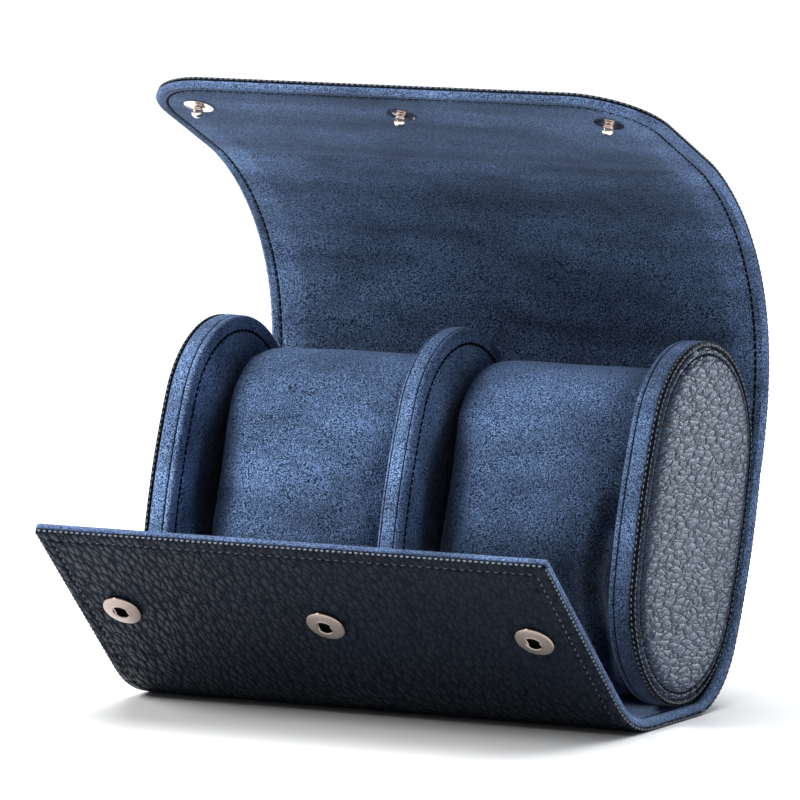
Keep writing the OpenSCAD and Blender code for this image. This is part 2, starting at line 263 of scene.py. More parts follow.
def wrap_net(prof):
    """The whole wrap as a flat net; prof is (inset, level) from the face towards the edge and round it."""
    net, E, t0 = Net(), prof[0][0], prof[0][1]
    cols = np.linspace(-1, 1, NCOL + 1)
    arcs = [math.pi / 2 * m / NARC for m in range(1, NARC + 1)]
    R = [(HALF - E, s) for s in ROWS]
    R += [(HALF - R_TOP + (R_TOP - E) * math.cos(a), S_END - R_TOP + (R_TOP - E) * math.sin(a)) for a in arcs]
    net.grid([[(hw * c, s, t0) for c in cols] for hw, s in R])
    for sg in (-1, 1):
        A = [[(sg * (HALF - e), s, t) for e, t in prof] for s in ROWS]
        A += [[(sg * (HALF - R_TOP + (R_TOP - e) * math.cos(a)), S_END - R_TOP + (R_TOP - e) * math.sin(a), t)
               for e, t in prof] for a in arcs]
        net.grid(A)
        A = []
        for deg in (0, 9, 18, 27, 34, 40, 45, 50, 56, 63, 72, 81, 90):
            c, s_ = math.cos(math.radians(deg)), math.sin(math.radians(deg))
            row = []
            for e, t in prof:
                a, rr = E - e, max(R_FRONT - e, 0.0)
                if rr < 1e-6 or a < 1e-6:
                    dist = a / max(c, s_)
                elif a * s_ / max(c, 1e-9) <= a - rr:
                    dist = a / c
                elif a * c / max(s_, 1e-9) <= a - rr:
                    dist = a / s_
                else:
                    q = a - rr
                    b = q * (c + s_)
                    dist = b + math.sqrt(max(b * b - 2 * q * q + rr * rr, 0))
                row.append((sg * (HALF - E + dist * c), S0 + E - dist * s_, t))
            A.append(row)
        net.grid(A)
    net.grid([[((HALF - R_TOP) * c, S_END - e, t) for e, t in prof] for c in cols])
    net.grid([[((HALF - E) * c, S0 + e, t) for e, t in prof] for c in cols])
    return net


JOIN = [None, ("front_plate", "front_strip", "front_edge", 9.0), ("front_strip", "front_root", "front_bend", 9.0),
        ("front_root", "base", "front_fold", 9.5), None, ("base", "top_root", "root", 7.0),
        ("top_root", "top_strip_a", "a", 7.0), ("top_strip_a", "top_strip_b", "b", 9.0),
        ("top_strip_b", "top_strip_c", "c", 9.0), ("top_strip_c", "top_strip_d", "d", 9.0),
        ("top_strip_d", "top_plate", "tip", 9.0), None]
RIDE = {0: "front_plate", 4: "base", 11: "top_plate"}


def attach(ob, i):
    """Piece i of the wrap rides on its body; a piece across a hinge is baked where it lies."""
    if i in RIDE:
        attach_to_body(ob, RIDE[i])
    else:
        a, b, m, w = JOIN[i]
        p, q = wrap_pt(0, MARK[m] - w, 1.7) * 0.001, wrap_pt(0, MARK[m] + w, 1.7) * 0.001
        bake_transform(ob)


def split(name, V, F, S_face, material, side, roll=None, band=(-9, 1.2)):
    """Cuts flat verts V and faces F at the wrap's cuts. side -1: faces look inwards, 1: outwards, 0: closed bits."""
    V, F = np.asarray(V, float), list(F)
    piece = np.searchsorted(CUTS, S_face)
    made = {}
    P = wrap_pt(V[:, 0], V[:, 1], V[:, 2])
    for i in range(12):
        fs = [F[k] for k in np.nonzero(piece == i)[0]]
        if not fs:
            continue
        used = sorted({v for f in fs for v in f})
        new = {v: n for n, v in enumerate(used)}
        ob = new_object(f"{name}_{i:02d}", P[used], [[new[v] for v in f] for f in fs], material)
        if roll:
            # the rolled edge is a lighter, fluffier nap; along the stitched groove the leather takes the darker second
            # material
            ob.data.materials.append(roll)
            flat = V[used]
            depth = np.minimum(HALF - np.abs(flat[:, 0]), np.minimum(flat[:, 1] - S0, S_END - flat[:, 1]))
            cx, cs = np.maximum(np.abs(flat[:, 0]) - (HALF - R_TOP), 0), np.maximum(flat[:, 1] - (S_END - R_TOP), 0)
            depth = np.where((cx > 0) & (cs > 0), R_TOP - np.hypot(cx, cs), depth)
            ob.data.polygons.foreach_set("material_index", [
                int(max(depth[list(p.vertices)]) < band[1] and min(depth[list(p.vertices)]) > band[0]) for p in ob.data.polygons])
        if side:
            def look(c):
                s = PS_[np.argmin((PY - c.y * 1000) ** 2 + (PZ - c.z * 1000) ** 2)]
                h = float(np.interp(s, PS_, PH))
                return (0, side * math.sin(h), -side * math.cos(h))
            face_out(ob, look)
        attach(ob, i)
        made[i] = ob
    return made


def face_s(net):
    V = np.array(net.v)
    return np.array([V[f, 1].mean() for f in net.f])


# ------------------------------------------------------------------ materials
def material(name):
    m = bpy.data.materials.new(name)
    m.use_nodes = True
    nt = m.node_tree
    nt.nodes.clear()
    out = nt.nodes.new("ShaderNodeOutputMaterial")
    sh = nt.nodes.new("ShaderNodeBsdfPrincipled")
    nt.links.new(sh.outputs["BSDF"], out.inputs["Surface"])
    return m, nt, sh


def node(nt, kind, **props):
    n = nt.nodes.new(kind)
    for k, v in props.items():
        if k in n.inputs:
            n.inputs[k].default_value = v
        else:
            setattr(n, k, v)
    return n


def ramp(nt, source, stops):
    r = nt.nodes.new("ShaderNodeValToRGB")
    while len(r.color_ramp.elements) < len(stops):
        r.color_ramp.elements.new(0.5)
    for e, (p, c) in zip(r.color_ramp.elements, stops):
        e.position = p
        e.color = (*c, 1) if len(c) == 3 else c
    nt.links.new(source, r.inputs["Fac"])
    return r


def grey(v):
    return (v, v, v)


def mapped(nt, scale, rotation=(0, 0, 0), warp=0.0, warp_scale=60.0):
    """Object coordinates, pushed about by a noise so that no direction is straight, then scaled."""
    tc = node(nt, "ShaderNodeTexCoord")
    vec = tc.outputs["Object"]
    if warp:
        nz = node(nt, "ShaderNodeTexNoise", Scale=warp_scale, Detail=2.0)
        nt.links.new(vec, nz.inputs["Vector"])
        sub = node(nt, "ShaderNodeVectorMath", operation="SUBTRACT")
        nt.links.new(nz.outputs["Color"], sub.inputs[0])
        sub.inputs[1].default_value = (0.5, 0.5, 0.5)
        mul = node(nt, "ShaderNodeVectorMath", operation="SCALE")
        nt.links.new(sub.outputs[0], mul.inputs[0])
        mul.inputs["Scale"].default_value = warp
        add = node(nt, "ShaderNodeVectorMath", operation="ADD")
        nt.links.new(vec, add.inputs[0])
        nt.links.new(mul.outputs[0], add.inputs[1])
        vec = add.outputs[0]
    mp = node(nt, "ShaderNodeMapping")
    mp.inputs["Scale"].default_value = scale
    mp.inputs["Rotation"].default_value = rotation
    nt.links.new(vec, mp.inputs["Vector"])
    return mp.outputs["Vector"]


def mix_color(nt, fac, a, b, blend="MIX"):
    m = nt.nodes.new("ShaderNodeMix")
    m.data_type = "RGBA"
    m.blend_type = blend
    for sock, v in ((m.inputs[0], fac), (m.inputs[6], a), (m.inputs[7], b)):
        if hasattr(v, "is_linked"):
            nt.links.new(v, sock)
        else:
            sock.default_value = v if isinstance(v, float) else (*v, 1)
    return m.outputs[2]


def math_node(nt, op, a, b):
    m = node(nt, "ShaderNodeMath", operation=op)
    for i, v in enumerate((a, b)):
        if hasattr(v, "is_linked"):
            nt.links.new(v, m.inputs[i])
        else:
            m.inputs[i].default_value = v
    return m.outputs[0]


def suede(name, dark, mid, light, spread=0.1, band=0.0, edge_band=0.0, across=None, field=None, shade_by_height=None):
    """Napped suede: short fine streaks whose direction wanders, soft light and dark patches, a blue bloom at grazing
    angles. Optional stops along X and by height scale the colour (painted light and shade on the pillows and panels),
    and the panels' field inside the ring of stitches can be painted dark as shade.
    """
    m, nt, sh = material(name)
    streaks = []
    for scale, rot in (((1950, 4200, 2600), (0.5, 0.2, 0.5)), ((4200, 2050, 2400), (0.1, 0.4, -0.6))):
        nz = node(nt, "ShaderNodeTexNoise", Scale=1.0, Detail=1.5, Roughness=0.5)
        nt.links.new(mapped(nt, scale, rot, 0.004, 110.0), nz.inputs["Vector"])
        streaks.append(nz.outputs["Fac"])
    patch = node(nt, "ShaderNodeTexNoise", Scale=1.0, Detail=1.0)
    nt.links.new(mapped(nt, (210, 210, 210), (0, 0, 0), 0.006, 90.0), patch.inputs["Vector"])
    pm = ramp(nt, patch.outputs["Fac"], [(0.485, grey(0)), (0.515, grey(1))])
    nap = mix_color(nt, pm.outputs["Color"], streaks[0], streaks[1])
    base = ramp(nt, nap, [(0.5 - spread, dark), (0.5, mid), (0.5 + spread, light)])
    tone = node(nt, "ShaderNodeTexNoise", Scale=1.0, Detail=3.0, Roughness=0.5)
    nt.links.new(mapped(nt, (28, 60, 60), (0, 0, 0), 0.02, 20.0), tone.inputs["Vector"])
    tr = ramp(nt, tone.outputs["Fac"], [(0.33, grey(0.62)), (0.5, grey(0.98)), (0.68, grey(1.36))])
    col = mix_color(nt, 1.0, base.outputs["Color"], tr.outputs["Color"], "MULTIPLY")
    if band:
        bz = node(nt, "ShaderNodeTexNoise", Scale=1.0, Detail=2.0)
        nt.links.new(mapped(nt, (6, 75, 75), (0, 0, 0), 0.012, 12.0), bz.inputs["Vector"])
        br = ramp(nt, bz.outputs["Fac"], [(0.35, grey(1 - band)), (0.52, grey(1.0)), (0.68, grey(1 + band))])
        col = mix_color(nt, 1.0, col, br.outputs["Color"], "MULTIPLY")
    if edge_band:
        # the strip that the end panels' rims press on when the case is shut has a smoother, lighter nap
        sep = node(nt, "ShaderNodeSeparateXYZ")
        nt.links.new(mapped(nt, (1, 1, 1), (0, 0, 0), 0.0022, 60.0), sep.inputs[0])
        ax = math_node(nt, "ABSOLUTE", sep.outputs["X"], 0.0)
        er = ramp(nt, ax, [(0.0672, grey(1.0)), (0.0692, grey(1 + edge_band)), (0.0765, grey(1 + edge_band)), (0.0785, grey(1 + edge_band * 0.5))])
        col = mix_color(nt, 1.0, col, er.outputs["Color"], "MULTIPLY")
    if across:
        # painted light and shade along X, as (x in mm, factor) stops: on the pillows darker towards their ends beside
        # the gaps, on the rims lighter to the left and darker to the right; on the wrap's lining only darker towards
        # the middle
        sep = node(nt, "ShaderNodeSeparateXYZ")
        nt.links.new(mapped(nt, (1, 1, 1), (0, 0, 0), 0.006, 35.0), sep.inputs[0])
        pos = math_node(nt, "ADD", math_node(nt, "MULTIPLY", sep.outputs["X"], 6.25), 0.5)
        ar = ramp(nt, pos, [(0.5 + x * 0.00625, grey(v)) for x, v in across])
        col = mix_color(nt, 1.0, col, ar.outputs["Color"], "MULTIPLY")
    if shade_by_height:
        # painted shade by height, as (z in mm, factor) stops: darker low in the trough between the panels and behind
        # the front flap, and a little at the top
        sep = node(nt, "ShaderNodeSeparateXYZ")
        nt.links.new(mapped(nt, (1, 1, 1), (0, 0, 0), 0.008, 30.0), sep.inputs[0])
        dr = ramp(nt, math_node(nt, "MULTIPLY", sep.outputs["Z"], 8.0), [(z * 0.008, grey(v)) for z, v in shade_by_height])
        col = mix_color(nt, 1.0, col, dr.outputs["Color"], "MULTIPLY")
    if field:
        # painted shade on the faces inside the ring of stitches: nearly black in the middle, lighter towards the ring,
        # for the deep shade of the gap beside the pillows
        tc = node(nt, "ShaderNodeTexCoord")
        sub = node(nt, "ShaderNodeVectorMath", operation="SUBTRACT")
        nt.links.new(tc.outputs["Object"], sub.inputs[0])
        sub.inputs[1].default_value = (0, 0, PCZ * 0.001)
        rot = node(nt, "ShaderNodeVectorRotate", rotation_type="X_AXIS")
        nt.links.new(sub.outputs[0], rot.inputs["Vector"])
        rot.inputs["Angle"].default_value = LEAN
        mul = node(nt, "ShaderNodeVectorMath", operation="MULTIPLY")
        nt.links.new(rot.outputs[0], mul.inputs[0])
        mul.inputs[1].default_value = (0, 1000 / OB, 1000 / OA)
        ln = node(nt, "ShaderNodeVectorMath", operation="LENGTH")
        nt.links.new(mul.outputs[0], ln.inputs[0])
        fr = ramp(nt, ln.outputs["Value"], [(0.46, grey(field)), (0.57, grey(0.14)), (0.69, grey(0.8)), (0.88, grey(1.0))])
        col = mix_color(nt, 1.0, col, fr.outputs["Color"], "MULTIPLY")
    nt.links.new(col, sh.inputs["Base Color"])
    sh.inputs["Roughness"].default_value = 0.95
    sh.inputs["Specular IOR Level"].default_value = 0.1
    sh.inputs["Sheen Weight"].default_value = 0.3
    sh.inputs["Sheen Roughness"].default_value = 0.4
    sh.inputs["Sheen Tint"].default_value = (0.45, 0.58, 0.9, 1)
    bump = node(nt, "ShaderNodeBump", Strength=0.85, Distance=0.0004)
    nt.links.new(nap, bump.inputs["Height"])
    nt.links.new(bump.outputs["Normal"], sh.inputs["Normal"])
    return m


def leather(name, crease, top, stretch=(1.6, 0.86, 0.86), rough=(0.36, 0.6), depth=0.00075, strength=1.0, cell=360.0, spec=0.5,
            shine=0.0, smooth_right=0.0, tint=(0.72, 0.82, 1.0), pebble=0.75, groove=0.3):
    """Pebbled leather: long rounded cells between thin creases, a finer grain on top, worn shine on the pebbles.
    pebble and groove weigh the round tops and the creases; stretch packs the cells closer along an axis; shine paints a
    highlight on the lips of the creases; smooth_right calms the grain towards +X."""
    m, nt, sh = material(name)
    vec = mapped(nt, stretch, (0.12, 0.05, 0.1), 0.0017, 230.0)
    vo = node(nt, "ShaderNodeTexVoronoi", feature="DISTANCE_TO_EDGE", Scale=cell, Randomness=1.0)
    nt.links.new(vec, vo.inputs["Vector"])
    vc = node(nt, "ShaderNodeTexVoronoi", feature="F1", Scale=cell, Randomness=1.0)
    nt.links.new(vec, vc.inputs["Vector"])
    v2 = node(nt, "ShaderNodeTexVoronoi", feature="DISTANCE_TO_EDGE", Scale=cell * 2.3, Randomness=1.0)
    nt.links.new(vec, v2.inputs["Vector"])
    vs = node(nt, "ShaderNodeTexVoronoi", feature="SMOOTH_F1", Scale=cell, Smoothness=0.28, Randomness=1.0)
    nt.links.new(vec, vs.inputs["Vector"])
    dome = ramp(nt, vo.outputs["Distance"], [(0.0, grey(0)), (0.03, grey(0.45)), (0.08, grey(0.82)), (0.2, grey(0.97)), (0.4, grey(1))])
    dome2 = ramp(nt, v2.outputs["Distance"], [(0.0, grey(0)), (0.10, grey(0.75)), (0.3, grey(1))])
    fine = node(nt, "ShaderNodeTexNoise", Scale=2400.0, Detail=2.0)
    tc = node(nt, "ShaderNodeTexCoord")
    nt.links.new(tc.outputs["Object"], fine.inputs["Vector"])
    h = math_node(nt, "MULTIPLY", dome2.outputs["Color"], 0.08)
    h = math_node(nt, "ADD", h, math_node(nt, "MULTIPLY", dome.outputs["Color"], groove))
    tops = ramp(nt, vs.outputs["Distance"], [(0.0, grey(1)), (0.25, grey(0.9)), (0.45, grey(0.6)), (0.65, grey(0.2)), (0.8, grey(0))])
    h = math_node(nt, "ADD", h, math_node(nt, "MULTIPLY", tops.outputs["Color"], pebble))
    one = node(nt, "ShaderNodeSeparateColor")
    nt.links.new(vc.outputs["Color"], one.inputs[0])
    h = math_node(nt, "ADD", h, math_node(nt, "MULTIPLY", one.outputs[0], 0.08))
    h = math_node(nt, "ADD", h, math_node(nt, "MULTIPLY", fine.outputs["Fac"], 0.10))
    bump = node(nt, "ShaderNodeBump", Strength=strength, Distance=depth)
    if smooth_right:
        sep = node(nt, "ShaderNodeSeparateXYZ")
        nt.links.new(mapped(nt, (1, 1, 1), (0, 0, 0), 0.05, 14.0), sep.inputs[0])
        calm = ramp(nt, math_node(nt, "ADD", sep.outputs["X"], 0.5), [(0.45, grey(1.0)), (0.56, grey(1.0 - smooth_right))])
        low = ramp(nt, math_node(nt, "ADD", sep.outputs["Z"], 0.5), [(0.512, grey(1)), (0.53, grey(0))])
        keep = math_node(nt, "MAXIMUM", calm.outputs["Color"], low.outputs["Color"])
        h = math_node(nt, "MULTIPLY", h, keep)
    nt.links.new(h, bump.inputs["Height"])
    nt.links.new(bump.outputs["Normal"], sh.inputs["Normal"])
    tone = node(nt, "ShaderNodeTexNoise", Scale=38.0, Detail=4.0)
    nt.links.new(tc.outputs["Object"], tone.inputs["Vector"])
    tr = ramp(nt, tone.outputs["Fac"], [(0.35, grey(0.82)), (0.65, grey(1.2))])
    stops = [(0.0, crease), (0.06, top)]
    # painted highlight: the lips of the creases are lightened as if catching grazing light
    if shine:
        stops = [(0.0, crease), (0.035, tuple(c + shine for c in top)), (0.09, tuple(c + shine * 0.5 for c in top)), (0.16, top)]
    cr = ramp(nt, vo.outputs["Distance"], stops)
    col = mix_color(nt, 1.0, cr.outputs["Color"], tr.outputs["Color"], "MULTIPLY")
    nt.links.new(col, sh.inputs["Base Color"])
    rr = ramp(nt, h, [(0.2, grey(rough[1])), (1.0, grey(rough[0]))])
    nt.links.new(rr.outputs["Color"], sh.inputs["Roughness"])
    sp = ramp(nt, vo.outputs["Distance"], [(0.0, grey(spec * 0.3)), (0.05, grey(spec * 0.75)), (0.2, grey(spec))])
    nt.links.new(sp.outputs["Color"], sh.inputs["Specular IOR Level"])
    sh.inputs["Specular Tint"].default_value = (*tint, 1)
    return m


def metal(name, color, rough=0.2):
    """Plated metal with a faint brushed grain and slightly uneven polish."""
    m, nt, sh = material(name)
    nz = node(nt, "ShaderNodeTexNoise", Scale=900.0, Detail=3.0)
    nt.links.new(mapped(nt, (1, 1, 4)), nz.inputs["Vector"])
    rr = ramp(nt, nz.outputs["Fac"], [(0.3, grey(rough * 0.75)), (0.7, grey(rough * 1.5))])
    nt.links.new(rr.outputs["Color"], sh.inputs["Roughness"])
    cr = ramp(nt, nz.outputs["Fac"], [(0.3, tuple(c * 0.9 for c in color)), (0.7, color)])
    nt.links.new(cr.outputs["Color"], sh.inputs["Base Color"])
    sh.inputs["Metallic"].default_value = 1.0
    bump = node(nt, "ShaderNodeBump", Strength=0.05, Distance=0.00005)
    nt.links.new(nz.outputs["Fac"], bump.inputs["Height"])
    nt.links.new(bump.outputs["Normal"], sh.inputs["Normal"])
    return m


def thread(name, color, rough=0.45, gloss=0.5):
    """Twisted thread."""
    m, nt, sh = material(name)
    w = node(nt, "ShaderNodeTexNoise", Scale=2400.0, Detail=1.0)
    nt.links.new(mapped(nt, (1, 1, 1), (0.4, 0.2, 0.7)), w.inputs["Vector"])
    cr = ramp(nt, w.outputs["Fac"], [(0.35, tuple(c * 0.55 for c in color)), (0.65, color)])
    nt.links.new(cr.outputs["Color"], sh.inputs["Base Color"])
    sh.inputs["Roughness"].default_value = rough
    sh.inputs["Specular IOR Level"].default_value = gloss
    bump = node(nt, "ShaderNodeBump", Strength=0.5, Distance=0.0001)
    nt.links.new(w.outputs["Fac"], bump.inputs["Height"])
    nt.links.new(bump.outputs["Normal"], sh.inputs["Normal"])
    return m


# painted light and shade along each pillow: dark at the ends beside the gaps at the end panels and the divider, a
# little lighter in the middle
PILLOW_END_SHADE = [(-67, 0.12), (-65, 0.4), (-62.5, 0.8), (-57, 1.06), (-34, 1.1), (-20, 0.95), (-11, 0.68), (-4.5, 0.4), (1, 0.2), (7, 0.12), (8.8, 0.4), (11.5, 0.82),
        (20, 1.04), (40, 1.0), (51, 0.76), (57, 0.5), (63, 0.42), (69, 0.34)]
# painted light and shade across the rims: the left panel and the divider lighter, the right panel darker
RIM_LIGHT_AND_SHADE = [(-78, 1.5), (4, 1.5), (40, 1.0), (70, 0.9), (78, 0.86)]
# the panels' and divider's suede: painted light and shade across the rims, painted shade low in the trough and at the
# top, and painted shade in the field inside the ring of stitches
SUEDE = suede("suede_blue", (0.018, 0.030, 0.062), (0.077, 0.127, 0.240), (0.195, 0.305, 0.530), across=RIM_LIGHT_AND_SHADE, field=0.03,
              shade_by_height=[(8, 0.16), (26, 0.38), (46, 0.85), (60, 1.0), (85, 1.0), (98, 0.75)])
# the pillows: painted shade on their lower parts, deepest on the right pillow, and painted light and shade at their
# ends
SUEDE_PILLOW_LEFT = suede("suede_blue_pillow_left", (0.014, 0.026, 0.055), (0.083, 0.139, 0.268), (0.215, 0.340, 0.600), across=PILLOW_END_SHADE,
                          shade_by_height=[(46, 0.6), (62, 0.98), (90, 1.0)])
SUEDE_PILLOW_RIGHT = suede("suede_blue_pillow_right", (0.014, 0.026, 0.055), (0.083, 0.139, 0.268), (0.215, 0.340, 0.600), across=PILLOW_END_SHADE,
                           shade_by_height=[(44, 0.25), (56, 0.6), (70, 0.95), (90, 1.0)])
SUEDE_WRAP = suede("suede_blue_wrap", (0.009, 0.016, 0.034), (0.043, 0.070, 0.130), (0.112, 0.175, 0.305), band=0.34, edge_band=0.5,
                   across=[(-80, 0.98), (-45, 0.95), (-5, 0.82), (40, 0.78), (66, 0.9), (80, 0.98)])
SUEDE_EDGE = suede("suede_blue_edge", (0.030, 0.048, 0.098), (0.080, 0.128, 0.245), (0.190, 0.285, 0.500))
SUEDE_SEAM = suede("suede_blue_seam", (0.003, 0.005, 0.010), (0.008, 0.012, 0.024), (0.020, 0.030, 0.055))
LEATHER = leather("leather_navy", (0.0016, 0.0028, 0.0052), (0.0036, 0.0065, 0.0130), spec=0.165, smooth_right=0.6, rough=(0.40, 0.66), tint=(0.6, 0.76, 1.0),
                  depth=0.0011, cell=330.0, pebble=0.8, groove=0.22)
LEATHER_DARK = leather("leather_navy_binding", (0.001, 0.0012, 0.002), (0.0025, 0.0035, 0.006), spec=0.12, rough=(0.45, 0.7), cell=480.0, depth=0.0003)
# the end faces' leather: lighter and bluer than the wrap's leather, partly painted sheen for the glancing light on
# these faces, with painted highlights on the crease lips
LEATHER_FACE_SHEEN = leather("leather_navy_face_sheen", (0.003, 0.004, 0.008), (0.017, 0.029, 0.062), stretch=(1.0, 0.42, 1.6), rough=(0.26, 0.42),
                       spec=0.37, shine=0.045, tint=(0.46, 0.68, 1.0), depth=0.0011, cell=400.0, pebble=0.42, groove=0.75)
THREAD = thread("thread_navy", (0.020, 0.042, 0.100), 0.3, 0.7)
# the fine edge stitches are real; their light grey colour is painted glint on a dark thread
THREAD_GLINT = thread("thread_grey_glint", (0.17, 0.20, 0.245), 0.5)
THREAD_BLACK = thread("thread_black", (0.0022, 0.003, 0.006), 0.8, 0.12)
NICKEL = metal("nickel", (0.39, 0.32, 0.285), 0.17)
NICKEL_BRIGHT = metal("nickel_bright", (0.72, 0.64, 0.58), 0.18)
STEEL = metal("spring_steel", (0.5, 0.47, 0.44), 0.3)
# near-black metal for the inside of each socket's hole: painted shade in the cavity
HOLLOW_SHADE = metal("socket_hollow_shade", (0.018, 0.016, 0.014), 0.5)

# ------------------------------------------------------------------ the wrap
LINING_PROF = [(7.0, 0), (5.6, 0), (4.7, 0.03), (4.15, 0.18), (3.8, 0.46), (3.5, 0.66), (3.2, 0.46), (2.85, 0.16),
               (2.3, 0.02), (1.7, 0.0), (1.1, 0.08), (0.6, 0.3), (0.25, 0.64), (0.06, 1.0), (0.0, 1.35), (0.06, 1.7), (0.3, 1.98), (0.9, 2.1)]
LEATHER_PROF = [(7.0, 3.4), (5.6, 3.4), (5.0, 3.36), (4.6, 3.15), (4.25, 2.75), (3.9, 3.15), (3.5, 3.36), (2.6, 3.4), (2.0, 3.4),
                (1.5, 3.36), (1.1, 3.32), (0.8, 3.26), (0.55, 3.12), (0.36, 2.9), (0.3, 2.6), (0.34, 2.3), (0.5, 2.12), (1.2, 2.05)]

SNAP_X = (-64.8, 0.0, 64.8)
S_SOCKET = 33.0
S_STUD = MARK["tip"] + 37.5


def lining_level(x, s, t):
    """Soft unevenness of the padded suede: a crease at the end plate, shallow cross waves, dents at the studs."""
    face = (t < 0.05)
    d = 0.38 * np.exp(-((s - MARK["tip"]) / 1.3) ** 2)
    d += 0.16 * (1 + np.sin(s / 5.3 + 1.1 * np.sin(x / 33.0) + 0.8)) * np.clip((s - MARK["a"]) / 20, 0, 1) * np.clip((MARK["tip"] - s) / 15, 0, 1)
    for sx in SNAP_X:
        r = np.hypot(x - sx, s - S_STUD)
        d += 0.28 * np.exp(-(r / 6.0) ** 2)
    return np.where(face, t + d, t)


def leather_level(x, s, t):
    """The leather dips a little in a ring round each socket and round each stud."""
    face = (t > 3.35)
    d = np.zeros_like(t)
    for sx in SNAP_X:
        r = np.hypot(x - sx, s - S_SOCKET)
        d += 0.22 * np.exp(-((r - 5.5) / 2.2) ** 2)
        r = np.hypot(x - sx, s - S_STUD)
        d += 0.22 * np.exp(-((r - 5.5) / 2.2) ** 2)
    return np.where(face, t - d, t)


lining = wrap_net(LINING_PROF)
V = np.array(lining.v)
V[:, 2] = lining_level(V[:, 0], V[:, 1], V[:, 2])
lining_pieces = split("wrap_lining", V, lining.f, face_s(lining), SUEDE_WRAP, -1, SUEDE_EDGE)
outer = wrap_net(LEATHER_PROF)
kept = []
for f in outer.f:
    q = [outer.v[i] for i in f]
    c = np.mean(q, axis=0)
    if len(f) != 4 or c[2] < 3.39 or min(math.hypot(c[0] - sx, c[1] - S_SOCKET) for sx in SNAP_X) > 7.5:
        kept.append(f)
        continue
    # finer faces round a socket, none inside its barrel
    q, m = [np.array(p) for p in q], 6
    grid = [[(q[0] * (1 - a) + q[1] * a) * (1 - b) + (q[3] * (1 - a) + q[2] * a) * b for a in np.linspace(0, 1, m + 1)] for b in np.linspace(0, 1, m + 1)]
    for i in range(m):
        for k in range(m):
            cell_ = [grid[i][k], grid[i][k + 1], grid[i + 1][k + 1], grid[i + 1][k]]
            mid_ = np.mean(cell_, axis=0)
            if min(math.hypot(mid_[0] - sx, mid_[1] - S_SOCKET) for sx in SNAP_X) > 3.7:
                kept.append([outer.add(tuple(p)) for p in cell_])
outer.f = kept
V = np.array(outer.v)
V[:, 2] = leather_level(V[:, 0], V[:, 1], V[:, 2])
leather_pieces = split("wrap_leather", V, outer.f, face_s(outer), LEATHER, 1, LEATHER_DARK, (3.85, 4.65))

STANDS = {0: ("front_plate_lining", "front_plate_board"), 1: ("front_strip_lining",), 2: ("front_root_lining",),
          4: ("base_lining", "base_board"), 5: ("top_root_lining",), 6: ("top_strip_a_lining",), 7: ("top_strip_b_lining",),
          8: ("top_strip_c_lining",), 9: ("top_strip_d_lining",), 11: ("top_plate_lining", "top_plate_board")}
for i, names in STANDS.items():
    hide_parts(*names)
STANDS = {0: "front_plate", 1: "front_strip", 2: "front_root", 4: "base", 5: "top_root", 6: "top_strip_a", 7: "top_strip_b",
          8: "top_strip_c", 9: "top_strip_d", 11: "top_plate"}
for i, n in STANDS.items():
    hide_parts(n + "_leather")


# ------------------------------------------------------------------ stitches
def bead(length, width, height, dip):
    """One stitch: (along, across, up) points and faces; its ends dive into the leather by dip."""
    V, F, n = [], [], 6
    st = [(-0.5, 0.30), (-0.44, 0.72), (-0.30, 0.95), (0.0, 1.0), (0.30, 0.95), (0.44, 0.72), (0.5, 0.30)]
    for a, r in st:
        drop = dip * (abs(a) * 2) ** 3
        for k in range(n):
            w = 2 * math.pi * k / n
            V.append((a * length, 0.5 * width * r * math.cos(w), 0.5 * height * r * math.sin(w) - drop))
    for i in range(len(st) - 1):
        for k in range(n):
            F.append((i * n + k, i * n + (k + 1) % n, (i + 1) * n + (k + 1) % n, (i + 1) * n + k))
    F.append(tuple(range(n)))
    F.append(tuple((len(st) - 1) * n + n - 1 - k for k in range(n)))
    return np.array(V), F


def outline(e):
    """The wrap's outline at inset e, as (x, s) points in order, with a closing point."""
    r = max(R_TOP - e, 0.1)
    pts = [(HALF - e, S0 + e)]
    pts += [(HALF - R_TOP + r * math.cos(a), S_END - R_TOP + r * math.sin(a)) for a in np.linspace(0, math.pi / 2, 40)]
    pts += [(-HALF + R_TOP - r * math.sin(a), S_END - R_TOP + r * math.cos(a)) for a in np.linspace(0, math.pi / 2, 40)]
    pts += [(-HALF + e, S0 + e), (HALF - e, S0 + e)]
    return np.array(pts)


def along(pts, pitch, skip=0.0):
    """Points and directions every pitch along a polyline, keeping skip away from sharp corners."""
    out = []
    d = np.hypot(*np.diff(pts, axis=0).T)
    runs, start = [], 0
    for i in range(1, len(pts) - 1):
        a, b = pts[i] - pts[i - 1], pts[i + 1] - pts[i]
        if np.dot(a, b) < 0.3 * np.hypot(*a) * np.hypot(*b):
            runs.append((start, i))
            start = i
    runs.append((start, len(pts) - 1))
    for a, b in runs:
        q = pts[a:b + 1]
        c = np.concatenate([[0], np.cumsum(np.hypot(*np.diff(q, axis=0).T))])
        n = max(1, int(round((c[-1] - 2 * skip) / pitch)))
        for k in range(n):
            m = skip + (c[-1] - 2 * skip) * (k + 0.5) / n
            p = np.array([np.interp(m, c, q[:, 0]), np.interp(m, c, q[:, 1])])
            f = np.array([np.interp(m + 0.4, c, q[:, 0]), np.interp(m + 0.4, c, q[:, 1])])
            g = np.array([np.interp(m - 0.4, c, q[:, 0]), np.interp(m - 0.4, c, q[:, 1])])
            t = (f - g) / np.hypot(*(f - g))
            out.append((p, t))
    return out


